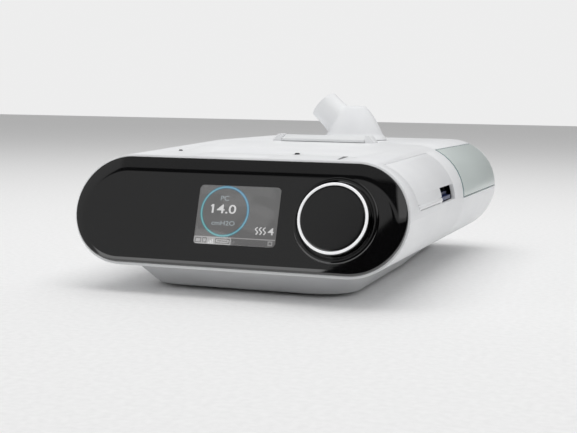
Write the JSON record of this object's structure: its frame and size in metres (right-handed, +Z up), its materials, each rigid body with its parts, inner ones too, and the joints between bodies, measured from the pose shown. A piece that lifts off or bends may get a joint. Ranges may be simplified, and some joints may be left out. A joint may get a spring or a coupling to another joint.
{
  "type": "bilevel positive airway pressure machine with heated humidifier",
  "caption": "Low, round-sided bedside breathing machine with a leaning black control face and a heated humidifier docked behind it.",
  "frame": {"origin": "centre of the footprint, at the height of the desk under the feet", "axes": "+X to the right along the control face seen from the front, +Y from the control face towards the humidifier's rear wall, +Z up"},
  "size_m": [0.193, 0.297, 0.1114],
  "materials": {
    "white_shell": "satin",
    "pan_grey": "matt",
    "panel_black": "polished",
    "screen_glass": "polished",
    "ring_bright": "satin",
    "inner_black": "matt",
    "inner_grey": "satin",
    "lcd": "satin",
    "board_green": "satin",
    "lamp_lens": "polished",
    "steel_plain": "brushed",
    "card_blue": "satin",
    "filter_foam": "open-cell foam",
    "filter_paper": "fibre felt",
    "motor_copper": "enamelled wire",
    "rubber_dark": "matt",
    "seal_grey": "matt",
    "heater_metal": "brushed",
    "tank_clear": "clear",
    "window_tint": "tinted clear",
    "latch_grey": "satin"
  },
  "bodies": {
    "unit": {"main_housing": "white_shell", "bottom_pan": "pan_grey", "dock_plate": "inner_black", "front_panel": "panel_black", "display_lens": "screen_glass", "display_module": "lcd", "display_board": "board_green", "dial_collar": "panel_black", "encoder": "inner_black", "key_board": "board_green", "light_sensor_window": "lamp_lens", "status_light": "lamp_lens", "side_door_pin": "steel_plain", "card_tray": "inner_black", "card_socket": "card_blue", "filter_door_pin": "steel_plain", "filter_frame": "inner_black", "foam_filter": "filter_foam", "fine_filter": "filter_paper", "blower_lower": "inner_grey", "blower_upper": "inner_grey", "stator": "motor_copper", "motor_bearings": "steel_plain", "blower_grommets": "rubber_dark", "air_tube": "inner_grey", "port_seal": "rubber_dark", "main_board": "board_green", "unit_screws": "steel_plain", "unit_feet": "rubber_dark", "humidifier_base": "white_shell", "humidifier_pan": "pan_grey", "dock_wall": "inner_black", "heater_tray": "inner_black", "heater_plate": "heater_metal", "water_tank": "tank_clear", "tank_lid": "tank_clear", "tank_seal": "seal_grey", "lid_pin": "steel_plain", "humidifier_board": "board_green", "power_inlet": "inner_black", "humidifier_screws": "steel_plain", "humidifier_feet": "rubber_dark"},
    "dial_press": {"encoder_shaft": "steel_plain"},
    "dial": {"dial_knob": "panel_black", "dial_ring": "ring_bright"},
    "therapy_key": {"therapy_button": "white_shell"},
    "ramp_key": {"ramp_button": "white_shell"},
    "card_door": {"side_door": "white_shell"},
    "card": {"memory_card": "card_blue"},
    "air_door": {"filter_door": "white_shell"},
    "rotor": {"impeller": "inner_grey", "motor_shaft": "steel_plain"},
    "lid": {"humidifier_lid": "white_shell", "window_right": "window_tint", "window_left": "window_tint", "latch_pin": "steel_plain", "outlet_seal": "seal_grey"},
    "latch": {"lid_latch": "latch_grey"},
    "outlet": {"elbow": "white_shell", "elbow_clip": "seal_grey"}
  },
  "joints": [
    {"name": "dial_push", "type": "slide", "parent": "unit", "child": "dial_press", "axis": [0, 0.9511, -0.309], "range_m": [0, 0.0006], "stiffness_N_per_m": 4000},
    {"name": "dial_turn", "type": "hinge", "parent": "dial_press", "child": "dial", "pos_m": [0.0575, -0.13321, 0.04328], "axis": [0, -0.9511, 0.309], "continuous": true},
    {"name": "therapy_push", "type": "slide", "parent": "unit", "child": "therapy_key", "axis": [0, 0, -1], "range_m": [0, 0.0008], "stiffness_N_per_m": 2500},
    {"name": "ramp_push", "type": "slide", "parent": "unit", "child": "ramp_key", "axis": [0, 0, -1], "range_m": [0, 0.0008], "stiffness_N_per_m": 2500},
    {"name": "card_door_hinge", "type": "hinge", "parent": "unit", "child": "card_door", "pos_m": [0.0948, 0, 0.0501], "axis": [0, 1, 0], "range_deg": [0, 80]},
    {"name": "card_pull", "type": "slide", "parent": "unit", "child": "card", "axis": [1, 0, 0], "range_m": [0, 0.026]},
    {"name": "air_door_hinge", "type": "hinge", "parent": "unit", "child": "air_door", "pos_m": [-0.0948, 0, 0.0501], "axis": [0, -1, 0], "range_deg": [0, 80]},
    {"name": "rotor_spin", "type": "hinge", "parent": "unit", "child": "rotor", "pos_m": [-0.014, -0.05442, 0.04], "axis": [0, 0, 1], "continuous": true},
    {"name": "lid_hinge", "type": "hinge", "parent": "unit", "child": "lid", "pos_m": [0, 0.14598, 0.0466], "axis": [-1, 0, 0], "range_deg": [0, 100]},
    {"name": "latch_lift", "type": "hinge", "parent": "lid", "child": "latch", "pos_m": [0.0035, 0.01658, 0.0813], "axis": [-1, 0, 0], "range_deg": [0, 35], "stiffness_Nm_per_rad": 0.05},
    {"name": "outlet_turn", "type": "hinge", "parent": "lid", "child": "outlet", "pos_m": [0.009, 0.06458, 0.0791], "axis": [0, 0, 1], "range_deg": [-170, 170]}
  ]
}
